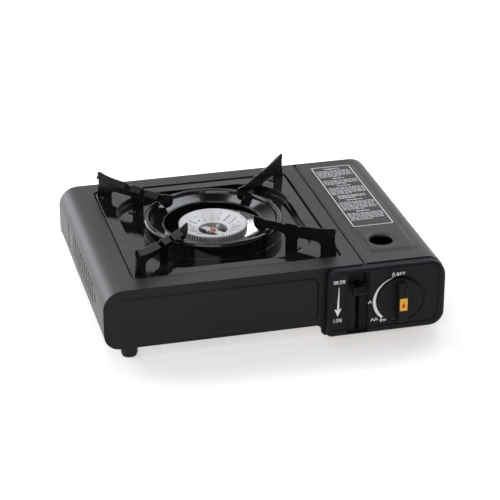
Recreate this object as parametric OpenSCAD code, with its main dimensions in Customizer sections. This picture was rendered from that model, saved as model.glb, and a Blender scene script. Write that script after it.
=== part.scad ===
// Butane cassette stove: sheet-metal casing, hinged cartridge lid, lift-off drip tray with four
// pan supports, aluminium burner, gas regulator with knob, and the lock lever with its pusher.
// Frame: X to the right, Y to the back, Z up, origin on the ground below the middle of the box
// that the whole stove fills. Millimetres.

/* [Casing] */
// Width over the casing
stove_w = 343; // [300:1:400]
// Depth of the casing, from front panel to rear panel
case_d = 258; // [230:1:310]
// Height of the casing above its base plate
case_h = 62; // [56:0.5:76]
// Height of the base plate above the ground
foot_h = 20.4; // [16:0.2:26]
// Thickness of the casing, lid, base and tray sheet
sheet = 0.8; // [0.6:0.1:1.2]
// Thickness of the front and rear panels
panel_t = 1; // [0.8:0.1:1.5]
// Radius of the two upper long edges
top_r = 20; // [12:0.5:24]
// Radius of the lower left long edge
bottom_r = 16; // [10:0.5:20]
// How far the trough of the cartridge bay lies below the base plate
trough_drop = 8.3; // [6:0.1:10]

/* [Lid] */
// Width of the cartridge lid, seam to right-hand side
lid_w = 83.1; // [78:0.1:92]
// Gap between the lid and the casing at the seam
seam_gap = 1.4; // [1:0.1:2]
// Gap between the lid and each end panel
lid_end_gap = 0.7; // [0.4:0.1:1.2]
// Radius of the lid's rolled hinge edge
hinge_roll_r = 4; // [3.5:0.1:5]
// Radius of the hinge pins
hinge_pin_r = 1.5; // [1.2:0.1:2]
// Diameter of the finger hole
finger_hole_d = 24; // [18:0.5:28]
// Depth of the panel pressed into the lid
lid_recess = 1.5; // [0.6:0.1:2]

/* [Drip tray] */
// Width of the casing's opening for the tray
opening_w = 211; // [190:1:214]
// Depth of the casing's opening for the tray
opening_d = 216; // [190:1:222]
// Corner radius of that opening
opening_r = 6; // [4:0.5:12]
// Gap between the tray and the edge of the opening
tray_gap = 2.2; // [1:0.1:3]
// Thickness of the enamelled tray
tray_t = 1; // [0.8:0.1:1.2]
// Width of the tray's border
border_w = 12.8; // [10:0.1:18]
// Depth of the tray's floor below the casing's top
tray_floor_drop = 8; // [6:0.5:10]
// Corner radius of the tray's floor
floor_corner_r = 48; // [30:1:60]
// Outer radius of the raised ring
ring_r = 70.7; // [64:0.1:76]
// Height of the ring's crest above the casing's top
ring_rise = 8.7; // [6:0.1:10]
// Radius of the hole inside the ring
ring_hole_r = 50; // [44:0.5:54]

/* [Pan supports] */
// Number of pan supports
support_count = 4; // [4:1:4]
// Thickness of a support's sheet
support_t = 1.4; // [1:0.1:2]
// Height of the supports' tips above the casing's top
support_rise = 26.5; // [22:0.5:30]
// Width of the folded top edge
hem_w = 7; // [4:0.5:9]

/* [Burner] */
// Burner centre, measured from the middle of the width
burner_x = -32.9; // [-40:0.1:-28]
// Radius of the burner cap
cap_r = 35.2; // [32:0.1:38]
// Radius of the cap's centre hole
cap_hole_r = 15; // [12:0.5:17]
// Number of flame ports round the cap
port_count = 72; // [48:2:80]
// Outer diameter of the mixing tube
mixing_tube_d = 22; // [18:0.5:24]

/* [Cartridge bay] */
// Diameter of the cartridge that the bay takes
cartridge_d = 67; // [64:0.5:68]
// Length of the cartridge from its collar to its bottom
cartridge_l = 186; // [170:1:196]
// Axis of the cartridge and knob, measured from the right-hand side
bay_inset = 49.8; // [46:0.1:54]
// Radius of the bore that takes the cartridge's valve stem
stem_bore_r = 2.25; // [2:0.05:2.6]

/* [Controls] */
// Width of the control fascia
fascia_w = 119.6; // [110:0.1:124]
// How far the fascia stands out of the front panel
fascia_out = 10; // [8:0.5:12]
// How far the knob's axis lies below the cartridge's axis
knob_drop = 1.5; // [0:0.1:4]
// Diameter of the knob
knob_d = 46; // [38:0.5:50]
// How far the knob's grip stands out of the fascia
knob_out = 14; // [12:0.5:16]
// Radius of the knob's spindle
spindle_r = 3; // [2.5:0.1:4]
// Radius from the lock lever's pivot to its tip
lever_r = 45; // [42:0.5:46]
// Half of the lock lever's swing, in degrees
lever_half_swing = 28; // [22:0.5:28]
// Radius of the crank that moves the pusher
crank_r = 8.5; // [7:0.1:9]

/* [Hidden] */

$fn = 64;
small = 32;           // facets of small rounds
run_gap = 0.05;       // radial clearance of pins and shafts
seat_gap = 0.15;      // gap between pieces that are slid together
eps = 0.01;

// Casing levels and edges
base_z = foot_h;
top_z = base_z + case_h;
case_z0 = base_z + sheet;
case_x0 = -stove_w / 2;
case_x1 = stove_w / 2;
total_d = case_d + fascia_out + knob_out;
back_y = total_d / 2;
front_y = back_y - case_d;
fascia_y = front_y - fascia_out;
mid_y = (front_y + back_y) / 2;
trough_z = base_z - trough_drop;
trough_x0 = case_x1 - fascia_w - 4.3;      // left wall of the trough
trough_x1 = case_x1 - 3.5;                 // right wall of the trough and edge of the fascia
trough_r = 18;
floor_z = trough_z + sheet;                // floor that the cartridge lies on

// Lid and its hinge
seam_x = case_x1 - lid_w - seam_gap;       // free edge of the casing's top
lid_x0 = case_x1 - lid_w;
hinge_x = lid_x0 + hinge_roll_r;
hinge_z = top_z - hinge_roll_r;
lid_y0 = front_y + panel_t + lid_end_gap;
lid_y1 = back_y - panel_t - lid_end_gap;
end_flange_t = 1.2;
lid_panel_inset = 11;                      // casing top round the lid's pressed panel
seam_flange_h = 12;

// Tray opening and tray
burner_y = front_y + 22.6 + opening_d / 2;
open_x0 = burner_x - opening_w / 2;
open_x1 = burner_x + opening_w / 2;
open_y0 = burner_y - opening_d / 2;
open_y1 = burner_y + opening_d / 2;
ledge_drop = 6;
ledge_w = 9;
rim_z = top_z - 1;                         // top of the tray's border
tray_floor_z = top_z - tray_floor_drop;
crest_z = top_z + ring_rise;
crest_r = 3.2;
hole_lip_r = 1.2;
hole_lip_z = top_z + 0.7;

// Pan supports, measured from the burner's axis and from the casing's top
tip_reach = 143;
foot_in = 85.5;                            // inner foot
foot_in_w = 13;
foot_out = 125.5;                          // outer foot
foot_tab_w = 9;
foot_tab_t = 1;
rivet_r = 1.2;
rivet_head_r = 2.4;

// Burner levels
cap_top_z = top_z + 0.7;
cap_seat_z = top_z - 6.4;
body_bottom_z = cap_seat_z - 31.5;
body_rim_r = cap_r - 1.2;
tube_z = cap_seat_z - 18;                  // axis of the mixing tube

// Cartridge bay
bay_x = case_x1 - bay_inset;
cartridge_r = cartridge_d / 2;
bay_z = floor_z + cartridge_r + 0.1;
knob_z = bay_z - knob_drop;
collar_y = front_y + 32.5;                 // face that the cartridge's collar meets
cartridge_y0 = collar_y + 9;               // collar of the unlocked cartridge
cartridge_y1 = cartridge_y0 + cartridge_l; // its bottom
divider_x = lid_x0 - 3.4;
divider_y0 = collar_y + 24.5;
divider_y1 = cartridge_y1 - 8;

// Regulator, pipe and nozzle
regulator_r = 17;
regulator_y1 = front_y + 24;
socket_boss_r = 13;
cap_house_r = 13.5;
outlet_x = bay_x - 18;
outlet_y = front_y + 18;
pipe_dx = burner_x - outlet_x;
pipe_dy = burner_y - outlet_y;
pipe_len = norm([pipe_dx, pipe_dy]);
pipe_a = atan2(pipe_dy, pipe_dx);          // direction from the regulator to the burner
pipe_r = 3.5;
nozzle_s = 40;                             // distance of the nozzle from the outlet
tube_s0 = 52;                              // mouth of the mixing tube
tube_s1 = pipe_len - 20;                   // end of the mixing tube, inside the burner

// Lock lever, crank and pusher
lever_x = trough_x0 + 32;
lever_y = front_y + 22;
lever_z = base_z + 21.1;
lever_t = 1.6;
lever_h = 7;
lever_hub_r = 4.5;
lever_pin_r = 2;
grip_l = 9;
grip_w = 14.6;
grip_h = 8;
crank_pin_r = 1.5;
pusher_t = 1.2;
pusher_x = lever_x + lever_t / 2 + 1.7;
pusher_h = 11;
pusher_travel = 2 * crank_r * sin(lever_half_swing);
pusher_y = cartridge_y1 + 1.5;
crank_y0 = lever_y + crank_r * sin(lever_half_swing);
crank_z0 = lever_z + crank_r * cos(lever_half_swing);

// Fascia
fascia_x0 = trough_x0 + 0.8;
fascia_x1 = trough_x1 + 2;
fascia_z0 = trough_z - 2;
fascia_z1 = top_z - 1;
fascia_radii = [5, 15, 17, 10];
fascia_edge_r = 4;
fascia_rims = [3.7, 7, 7.5, 2.6];           // width of the rim: left, bottom, right, top
field_drop = 0.8;
track_x0 = lever_x - 11.2;
track_x1 = lever_x + 10.2;
track_depth = 4;
slot_w = 4;
slot_z0 = trough_z + 2.6;
slot_z1 = fascia_z1 - 15;
knob_skirt = 3;
knob_r = min(knob_d / 2, (fascia_z1 - fascia_z0) / 2 - 6);
grip_bar_l = 39;
grip_bar_w = 9;
indicator_w = 7.8;
indicator_h = 13.3;

// Feet
foot_r = 8.25;
foot_inset_x = 28.8;
foot_inset_y = 26.3;
foot_left_x = case_x0 + foot_inset_x;
foot_right_x = bay_x + 18;
foot_ys = [front_y + foot_inset_y, back_y - foot_inset_y];

// ---------------------------------------------------------------- helpers

// Box from one corner to the opposite one
module plate(a, b) { translate(a) cube(b - a); }

// Extrudes a drawing of X and Z along Y
module along_y(y0, y1) {
    translate([0, y1, 0]) rotate([90, 0, 0]) linear_extrude(y1 - y0) children();
}

// Extrudes a drawing of Y and Z along X
module along_x(x0, x1) {
    translate([x0, 0, 0]) rotate([90, 0, 90]) linear_extrude(x1 - x0) children();
}

// Rectangle with its own radius at each corner: low left, low right, high right, high left
module round_box(x0, y0, x1, y1, r) {
    at = [[x0, y0], [x1, y0], [x1, y1], [x0, y1]];
    way = [[1, 1], [-1, 1], [-1, -1], [1, -1]];
    outline = [for (i = [0 : 3]) each r[i] <= 0 ? [at[i]] :
        i % 2 == 0 ? [at[i] + [0, way[i].y * r[i]], at[i] + [way[i].x * r[i], 0]]
                   : [at[i] + [way[i].x * r[i], 0], at[i] + [0, way[i].y * r[i]]]];
    polygon(outline);
    for (i = [0 : 3]) if (r[i] > 0)
        translate([at[i].x + way[i].x * r[i], at[i].y + way[i].y * r[i]]) circle(r[i]);
}

function less(r, d) = [for (v = r) max(v - d, 0)];

// Sheet tube between an outline and the same outline drawn in by its wall
module round_frame(x0, y0, x1, y1, r, wall) {
    difference() {
        round_box(x0, y0, x1, y1, r);
        round_box(x0 + wall, y0 + wall, x1 - wall, y1 - wall, less(r, wall));
    }
}

// Cylinder along Y from y0 to y1
module rod_y(x, z, r, y0, y1, n = small) {
    translate([x, y1, z]) rotate([90, 0, 0]) cylinder(h = y1 - y0, r = r, $fn = n);
}

// Cylinder along X from x0 to x1
module rod_x(y, z, r, x0, x1, n = small) {
    translate([x0, y, z]) rotate([0, 90, 0]) cylinder(h = x1 - x0, r = r, $fn = n);
}

module rod_z(x, y, r, z0, z1, n = small) { translate([x, y, z0]) cylinder(h = z1 - z0, r = r, $fn = n); }

// Places children at the regulator's outlet with +X pointing at the burner's axis
module toward_burner() { translate([outlet_x, outlet_y, tube_z]) rotate([0, 0, pipe_a]) children(); }

// Flat screw head that fills a hole of its own size
module flat_head(r, h) {
    difference() {
        cylinder(h = h, r = r, $fn = small);
        for (a = [0, 90]) rotate([0, 0, a])
            translate([-r * 0.6, -0.35, h - 0.5]) cube([r * 1.2, 0.7, 1]);
    }
}

// ---------------------------------------------------------------- casing

module opening_outline(inset = 0) {
    r = max(opening_r - inset, 1);
    round_box(open_x0 + inset, open_y0 + inset, open_x1 - inset, open_y1 - inset, [r, r, r, r]);
}

module casing_section() {
    foot_flange = 8;
    difference() {
        round_frame(case_x0, case_z0, case_x1, top_z, [bottom_r, bottom_r, top_r, top_r], sheet);
        translate([seam_x, 0]) square([stove_w, top_z + 1]);
        translate([case_x0 + bottom_r + foot_flange, case_z0 - 1]) square([stove_w, sheet + 2]);
    }
    translate([seam_x - sheet, top_z - seam_flange_h]) square([sheet, seam_flange_h]);
}

// Slots in the left-hand wall: [y, height, width, middle above the base]
vent_pitch = 10.8;
vents = concat(
    [[front_y + 46, 11, 4, 35]],
    [for (i = [0 : 10]) [front_y + 60 + vent_pitch * i, 23, 3.2, 35]],
    [[front_y + 199, 28, 3.2, 33]]
);

casing_screw_z = base_z + 29.8;
casing_screw_ys = [front_y + 5.5, back_y - 9.5];
casing_screw_r = 3;

module top_casing() {
    color([0.12, 0.12, 0.13]) difference() {
        union() {
            along_y(front_y + panel_t, back_y - panel_t) casing_section();
            translate([0, 0, top_z - ledge_drop]) linear_extrude(ledge_drop) difference() {
                opening_outline(-sheet);
                opening_outline();
            }
            translate([0, 0, top_z - ledge_drop - sheet]) linear_extrude(sheet) difference() {
                opening_outline(-sheet);
                opening_outline(ledge_w);
            }
        }
        translate([0, 0, top_z - ledge_drop]) linear_extrude(ledge_drop + 1) opening_outline();
        for (v = vents)
            along_x(case_x0 - 1, case_x0 + sheet + 1)
                round_box(v[0] - v[2] / 2, base_z + v[3] - v[1] / 2, v[0] + v[2] / 2,
                    base_z + v[3] + v[1] / 2, [1.4, 1.4, 1.4, 1.4]);
        for (y = casing_screw_ys)
            rod_x(y, casing_screw_z, casing_screw_r + run_gap, case_x0 - 1, case_x0 + sheet + 1);
    }
}

// Bottom sheet: a flat floor under the burner and the deeper trough under the cartridge
module base_section() {
    wall_top = base_z + 20;
    difference() {
        union() {
            translate([case_x0 + bottom_r - 2, base_z]) square([trough_x0 - case_x0 - bottom_r + 2, sheet]);
            round_frame(trough_x0, trough_z, trough_x1, wall_top + 40, [2, trough_r, 0, 0], sheet);
        }
        translate([trough_x0 - 1, base_z + sheet]) square([sheet + 2, stove_w]);
        translate([trough_x0, wall_top]) square([stove_w, stove_w]);
    }
}

module base_plate() {
    rib_r = 4;
    color([0.62, 0.63, 0.64]) difference() {
        along_y(front_y + panel_t, back_y - panel_t) base_section();
        for (y = foot_ys) {
            rod_z(foot_left_x, y, foot_screw_r + run_gap, base_z - 1, base_z + sheet + 1);
            rod_z(foot_right_x, y, foot_screw_r + run_gap, trough_z - 1, trough_z + sheet + 1);
        }
        for (i = [0 : 6])
            translate([burner_x - 33 + 11 * i, burner_y - 52, base_z - 1]) linear_extrude(sheet + 2)
                round_box(-2, -16, 2, 16, [2, 2, 2, 2] * 0.95);
    }
    // Ribs that stiffen the flat floor
    color([0.62, 0.63, 0.64]) for (y = [mid_y - 92, mid_y + 92])
        intersection() {
            rod_x(y, base_z + sheet - 2, rib_r, foot_left_x + 16, trough_x0 - 22, small);
            plate([case_x0, y - rib_r, base_z + sheet], [trough_x0, y + rib_r, base_z + sheet + rib_r]);
        }
}

// Outline of the bulkhead: casing section on the left, trough section behind the fascia
module front_outline() {
    sweep_r = 5;
    low = trough_z - 3.4;
    left = trough_x0 - 2.6;
    round_box(case_x0, base_z, seam_x, top_z, [bottom_r, 0, 0, top_r]);
    round_box(left, low, trough_x1, top_z - 1.2, [6, trough_r, 17, 0]);
    difference() {
        translate([left - sweep_r, base_z - sweep_r]) square([sweep_r + 4, sweep_r + 1]);
        translate([left - sweep_r, base_z - sweep_r]) circle(sweep_r);
    }
}

field_x0 = case_x0 + 8.5;
field_x1 = trough_x0 - 5.6;
field_z0 = base_z + 5;
field_z1 = top_z - 8.9;
field_out = 1;

// Frustum with rounded corners, standing out of the front panel
module pressed_field(grow, y_root, y_face) {
    hull() {
        along_y(y_face, y_face + eps) round_box(field_x0 + 1.6 - grow, field_z0 + 1.6 - grow,
            field_x1 - 1.6 + grow, field_z1 - 1.6 + grow, [7, 7, 7, 7], $fn = small);
        along_y(y_root - eps, y_root) round_box(field_x0 - grow, field_z0 - grow,
            field_x1 + grow, field_z1 + grow, [8.6, 8.6, 8.6, 8.6], $fn = small);
    }
}

flange_in = 7;    // depth of the panels' inner flanges

module front_panel() {
    color([0.10, 0.10, 0.11]) difference() {
        union() {
            along_y(front_y, front_y + panel_t) front_outline();
            pressed_field(0, front_y, front_y - field_out);
            // flange inside the left wall, which the casing screw holds
            plate([case_x0 + sheet, front_y + panel_t - eps, casing_screw_z - 9],
                [case_x0 + sheet + panel_t, front_y + panel_t + flange_in, casing_screw_z + 9]);
        }
        pressed_field(-0.4, front_y + panel_t + eps, front_y - field_out + panel_t);
        rod_y(bay_x, knob_z, spindle_r + run_gap, front_y - 1, front_y + panel_t + 1);
        rod_y(hinge_x, hinge_z, hinge_pin_r + 0.02, front_y - 1, front_y + panel_t + 1);
        along_y(front_y - 1, front_y + panel_t + 1)
            round_box(lever_x - slot_w / 2, slot_z0, lever_x + slot_w / 2, slot_z1, [0, 0, 0, 0]);
        for (z = lever_bracket_zs)
            rod_y(lever_x - 9, z, panel_screw_r + run_gap, front_y - 1, front_y + panel_t + 1);
    }
}

// Outline of the rear panel and the pressed dimples that hold its screws
rear_screws = [[case_x0 + 14, base_z + 16], [case_x0 + 14, top_z - 18], [seam_x - 14, top_z - 14],
    [trough_x1 - 14, trough_z + 26]];
dimple_r = 4.6;
dimple_d = 1.4;
panel_screw_r = 1.5;

module rear_outline() {
    round_box(case_x0, base_z, seam_x, top_z, [bottom_r, 0, 0, top_r]);
    round_box(trough_x0, trough_z, case_x1, top_z, [fascia_radii[0], trough_r, top_r, 0]);
}

module rear_panel() {
    color([0.10, 0.10, 0.11]) difference() {
        union() {
            along_y(back_y - panel_t, back_y) rear_outline();
            for (s = rear_screws)
                rod_y(s[0], s[1], dimple_r + panel_t, back_y - dimple_d - panel_t, back_y - eps);
            plate([case_x0 + sheet, back_y - panel_t - 12, casing_screw_z - 9],
                [case_x0 + sheet + panel_t, back_y - panel_t + eps, casing_screw_z + 9]);
        }
        for (s = rear_screws) {
            rod_y(s[0], s[1], dimple_r, back_y - dimple_d, back_y + 1);
            rod_y(s[0], s[1], panel_screw_r + run_gap, back_y - 9, back_y + 1);
        }
        rod_y(hinge_x, hinge_z, hinge_pin_r + 0.02, back_y - panel_t - 1, back_y + 1);
        // ventilation slots behind the burner
        for (i = [-6 : 6])
            along_y(back_y - 3, back_y + 1) round_box(burner_x + 11 * i - 1.8, base_z + 31,
                burner_x + 11 * i + 1.8, base_z + 46, [1.6, 1.6, 1.6, 1.6]);
    }
}

module panel_screws() {
    color([0.55, 0.56, 0.57]) {
        for (s = rear_screws) translate([s[0], back_y - dimple_d, s[1]]) rotate([-90, 0, 0]) {
            flat_head(3.2, 1.2);
            translate([0, 0, -7]) cylinder(h = 7, r = panel_screw_r, $fn = small);
        }
        for (z = lever_bracket_zs) translate([lever_x - 9, front_y, z]) rotate([90, 0, 0])
            translate([0, 0, -panel_t - lever_bracket_t - 2])
                cylinder(h = panel_t + lever_bracket_t + 2 - 0.1, r = panel_screw_r, $fn = small);
    }
}

module casing_screws() {
    color([0.2, 0.2, 0.21]) for (y = casing_screw_ys)
        translate([case_x0 + sheet, y, casing_screw_z]) rotate([0, -90, 0])
            flat_head(casing_screw_r, sheet);
}

// ---------------------------------------------------------------- feet

foot_screw_r = 1.6;

module foot(h) {
    difference() {
        union() {
            cylinder(h = 3, r1 = foot_r - 1, r2 = foot_r);
            translate([0, 0, 3 - eps]) cylinder(h = h - 3 + eps, r = foot_r);
        }
        translate([0, 0, -1]) cylinder(h = h + 2, r = foot_screw_r + run_gap, $fn = small);
        translate([0, 0, -1]) cylinder(h = min(h - 3, 6) + 1, r = 4, $fn = small);
    }
}

module feet_left() { color([0.13, 0.13, 0.13]) for (y = foot_ys) translate([foot_left_x, y, 0]) foot(base_z); }

module feet_right() { color([0.13, 0.13, 0.13]) for (y = foot_ys) translate([foot_right_x, y, 0]) foot(trough_z); }

module foot_screw(h) {
    head_z = min(h - 3, 6);
    translate([0, 0, head_z - 2]) cylinder(h = 2, r = 3.2, $fn = small);
    translate([0, 0, head_z - eps]) cylinder(h = h - head_z + sheet + 1.5, r = foot_screw_r, $fn = small);
}

module foot_screws() {
    color([0.6, 0.6, 0.62]) for (y = foot_ys) {
        translate([foot_left_x, y, 0]) foot_screw(base_z);
        translate([foot_right_x, y, 0]) foot_screw(trough_z);
    }
}

// ---------------------------------------------------------------- lid

finger_x = bay_x - 1;
finger_y = front_y + 48.5;
recess_x0 = lid_x0 + lid_panel_inset;
recess_x1 = case_x1 - top_r - 0.5;
recess_y0 = lid_y0 + 21;
recess_y1 = lid_y1 - 12.5;

module lid_section() {
    difference() {
        union() {
            round_box(hinge_x, base_z, case_x1, top_z, [0, 0, top_r, 0]);
            translate([hinge_x, hinge_z]) circle(hinge_roll_r);
        }
        round_box(hinge_x - eps, base_z - 1, case_x1 - sheet, top_z - sheet, [0, 0, top_r - sheet, 0]);
        translate([hinge_x, hinge_z]) circle(hinge_roll_r - sheet);
        translate([lid_x0 - 1, base_z - 1]) square([hinge_roll_r + 1 + eps, hinge_z - base_z + 1]);
    }
}

// End wall of the lid: a disc round the hinge pin, with a turned-in edge along the top and side
module lid_end() {
    side_flange = 2.2;
    top_flange = 5;
    difference() {
        round_box(hinge_x, base_z, case_x1, top_z, [0, 0, top_r, 0]);
        round_box(hinge_x - 1, base_z - 1, case_x1 - sheet - side_flange, top_z - sheet - top_flange,
            [0, 0, top_r - top_flange, 0]);
    }
    translate([hinge_x, hinge_z]) circle(hinge_roll_r);
}

// Frustum of the panel pressed into the lid, from its rim to its floor
module pressed_lid(grow, z_rim, z_floor) {
    r = 6;
    run = 1.5;
    hull() {
        translate([0, 0, z_floor]) linear_extrude(eps) round_box(recess_x0 + run - grow,
            recess_y0 + run - grow, recess_x1 - run + grow, recess_y1 - run + grow, [r, r, r, r], $fn = small);
        translate([0, 0, z_rim]) linear_extrude(eps) round_box(recess_x0 - grow, recess_y0 - grow,
            recess_x1 + grow, recess_y1 + grow, [r + run, r + run, r + run, r + run], $fn = small);
    }
}

module lid() {
    color([0.12, 0.12, 0.13]) difference() {
        union() {
            along_y(lid_y0, lid_y1) lid_section();
            along_y(lid_y0, lid_y0 + end_flange_t) lid_end();
            along_y(lid_y1 - end_flange_t, lid_y1) lid_end();
            pressed_lid(0.4, top_z - sheet, top_z - sheet - lid_recess);
        }
        pressed_lid(0, top_z, top_z - lid_recess);
        rod_y(hinge_x, hinge_z, hinge_pin_r + run_gap, lid_y0 - 1, lid_y1 + 1);
        rod_z(finger_x, finger_y, finger_hole_d / 2, top_z - 8, top_z + 1, 64);
    }
}

// Two headed pins, one riveted into each end panel
module hinge_pins() {
    head_r = hinge_pin_r + 1;
    color([0.6, 0.6, 0.62]) {
        rod_y(hinge_x, hinge_z, hinge_pin_r, front_y, lid_y0 + end_flange_t + 1.2);
        rod_y(hinge_x, hinge_z, head_r, lid_y0 + end_flange_t + 0.3, lid_y0 + end_flange_t + 1.2);
        rod_y(hinge_x, hinge_z, hinge_pin_r, lid_y1 - end_flange_t - 1.2, back_y);
        rod_y(hinge_x, hinge_z, head_r, lid_y1 - end_flange_t - 1.2, lid_y1 - end_flange_t - 0.3);
    }
}

// ---------------------------------------------------------------- tray and pan supports

module tray_floor_outline(inset = 0) {
    d = tray_gap + border_w + inset;
    r = max(floor_corner_r - inset, 1);
    round_box(open_x0 + d, open_y0 + d, open_x1 - d, open_y1 - d, [r, r, r, r]);
}

// Section of the raised ring: outer wall, rolled crest, funnel and rolled lip of the hole
module ring_section() {
    crest_x = ring_r - crest_r;
    crest_y = crest_z - crest_r;
    translate([ring_r - tray_t, tray_floor_z - tray_t]) square([tray_t, crest_y - tray_floor_z + tray_t + 0.2]);
    difference() {
        translate([crest_x, crest_y]) circle(crest_r);
        translate([crest_x, crest_y]) circle(crest_r - tray_t);
        translate([crest_x - 10, crest_y - 20]) square([20, 20]);
    }
    polygon([
        [crest_x - crest_r, crest_y + 0.3], [crest_x - crest_r + tray_t, crest_y + 0.3],
        [crest_x - crest_r + tray_t, crest_y - 0.9],
        [ring_hole_r + hole_lip_r, hole_lip_z - 0.6], [ring_hole_r + hole_lip_r, hole_lip_z + 0.5],
        [crest_x - crest_r - 0.4, crest_y - 0.4]
    ]);
    translate([ring_hole_r + hole_lip_r, hole_lip_z]) circle(hole_lip_r);
}

// Rivets that hold the supports' feet: distance from the burner's axis, sideways, floor level
foot_rivets = [[foot_in + foot_in_w / 2, tray_floor_z], [foot_out + 6.5, rim_z]];
foot_rivet_side = 4.6;

module at_supports(i) { translate([burner_x, burner_y, 0]) rotate([0, 0, 45 + 90 * i]) children(); }

module drip_tray() {
    color([0.05, 0.05, 0.055]) difference() {
        union() {
            translate([0, 0, top_z - ledge_drop]) linear_extrude(rim_z - top_z + ledge_drop) difference() {
                opening_outline(tray_gap);
                opening_outline(tray_gap + tray_t);
            }
            translate([0, 0, rim_z - tray_t]) linear_extrude(tray_t) difference() {
                opening_outline(tray_gap);
                tray_floor_outline();
            }
            translate([0, 0, tray_floor_z - tray_t]) linear_extrude(rim_z - tray_floor_z + tray_t) difference() {
                tray_floor_outline(-tray_t);
                tray_floor_outline();
            }
            translate([0, 0, tray_floor_z - tray_t]) linear_extrude(tray_t) difference() {
                tray_floor_outline(-tray_t);
                translate([burner_x, burner_y]) circle(ring_r - tray_t, $fn = 96);
            }
            translate([burner_x, burner_y, 0]) rotate_extrude($fn = 96) ring_section();
        }
        for (i = [0 : support_count - 1]) at_supports(i) for (f = foot_rivets)
            rod_z(f[0], foot_rivet_side, rivet_r + run_gap, f[1] - 4, f[1] + 1);
    }
}

// Side view of a pan support: X is the distance from the burner's axis, Y the height above the top
tip = support_rise;
support_outline = [
    [49, 19.5], [60, 18.6], [62.2, 17.4], [64, 18.3], [81, 18.8], [83.8, 17.8], [85.6, 19.9], [98, 20.4],
    [101.5, 18.7], [104.7, 20.9], [122, 22.4], [133, tip - 2.2], [139, tip], [141.4, tip - 0.4],
    [142, tip - 2.4], [141, 19], [140.9, 13], [142.2, 6], [tip_reach, -1], [foot_out, -1], [foot_out, 4.5],
    [123.4, 7.2], [120, 8], [102, 7.4], [99.6, 6], [foot_in + foot_in_w, 3], [foot_in + foot_in_w, -tray_floor_drop],
    [foot_in, -tray_floor_drop], [foot_in, 4], [84, 7.6], [80.5, 9], [63.4, ring_rise + 0.3],
    [62.4, 7.4], [58, 3.2], [53.5, 5.2], [49.6, 8.6], [48.4, 13]
];
hems = [[[64, 18.3], [81, 18.8]], [[85.6, 19.9], [98, 20.4]], [[104.7, 20.9], [122.4, 22.4]],
    [[121.8, 22.4], [139.4, tip - 0.5]]];
hem_drop_a = 38;    // slope of the folded edge, in degrees below the level

module pan_support() {
    difference() {
        union() {
            translate([0, support_t / 2, 0]) rotate([90, 0, 0]) linear_extrude(support_t)
                polygon(support_outline);
            for (h = hems) {
                run = h[1] - h[0];
                translate([h[0].x, support_t / 2 - 0.3, h[0].y]) rotate([0, -atan2(run.y, run.x), 0])
                    rotate([-hem_drop_a, 0, 0]) translate([0.25, 0, -support_t - 0.12])
                        cube([norm(run) - 0.5, hem_w, support_t]);
            }
            plate([foot_in, 0, -tray_floor_drop],
                [foot_in + foot_in_w, foot_tab_w, -tray_floor_drop + foot_tab_t]);
            plate([foot_out + 0.5, 0, -1], [foot_out + 11.5, foot_tab_w - 1, -1 + foot_tab_t]);
        }
        for (f = foot_rivets)
            rod_z(f[0], foot_rivet_side, rivet_r + run_gap, f[1] - top_z - 1, f[1] - top_z + 2);
    }
}

module pan_support_at(i) {
    color([0.05, 0.05, 0.055]) at_supports(i) translate([0, 0, top_z]) pan_support();
}

module rivet(z) {
    reach = foot_tab_t + tray_t;
    translate([0, 0, z + foot_tab_t]) intersection() {
        translate([0, 0, -1.6]) sphere(r = rivet_head_r * 1.22, $fn = small);
        cylinder(h = 2, r = rivet_head_r, $fn = small);
    }
    translate([0, 0, z - tray_t - 0.6]) cylinder(h = reach + 0.8, r = rivet_r, $fn = small);
    translate([0, 0, z - tray_t - 0.8]) cylinder(h = 0.8, r = rivet_head_r - 0.4, $fn = small);
}

module support_rivets() {
    color([0.12, 0.12, 0.13]) for (i = [0 : support_count - 1]) at_supports(i) for (f = foot_rivets)
        translate([f[0], foot_rivet_side, 0]) rivet(f[1]);
}

// ---------------------------------------------------------------- burner

module at_burner() { translate([burner_x, burner_y, 0]) children(); }

module burner_body() {
    wall = 2;
    color([0.72, 0.73, 0.74]) difference() {
        at_burner() rotate_extrude() polygon([
            [0, body_bottom_z], [19, body_bottom_z], [21.5, body_bottom_z + 3],
            [22.5, tube_z + 6], [25, tube_z + 11], [body_rim_r - 1.4, cap_seat_z - 3.6],
            [body_rim_r + 0.8, cap_seat_z - 2.6], [body_rim_r + 0.8, cap_seat_z],
            [body_rim_r - 3, cap_seat_z], [body_rim_r - 3, cap_seat_z - 2.4],
            [25 - wall, tube_z + 13], [22.5 - wall, tube_z + 7.6], [21.5 - wall, body_bottom_z + 5],
            [17, body_bottom_z + wall], [0, body_bottom_z + wall]
        ]);
        toward_burner() rod_x(0, 0, mixing_tube_d / 2 + run_gap, pipe_len - 40, pipe_len, 64);
    }
}

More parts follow.
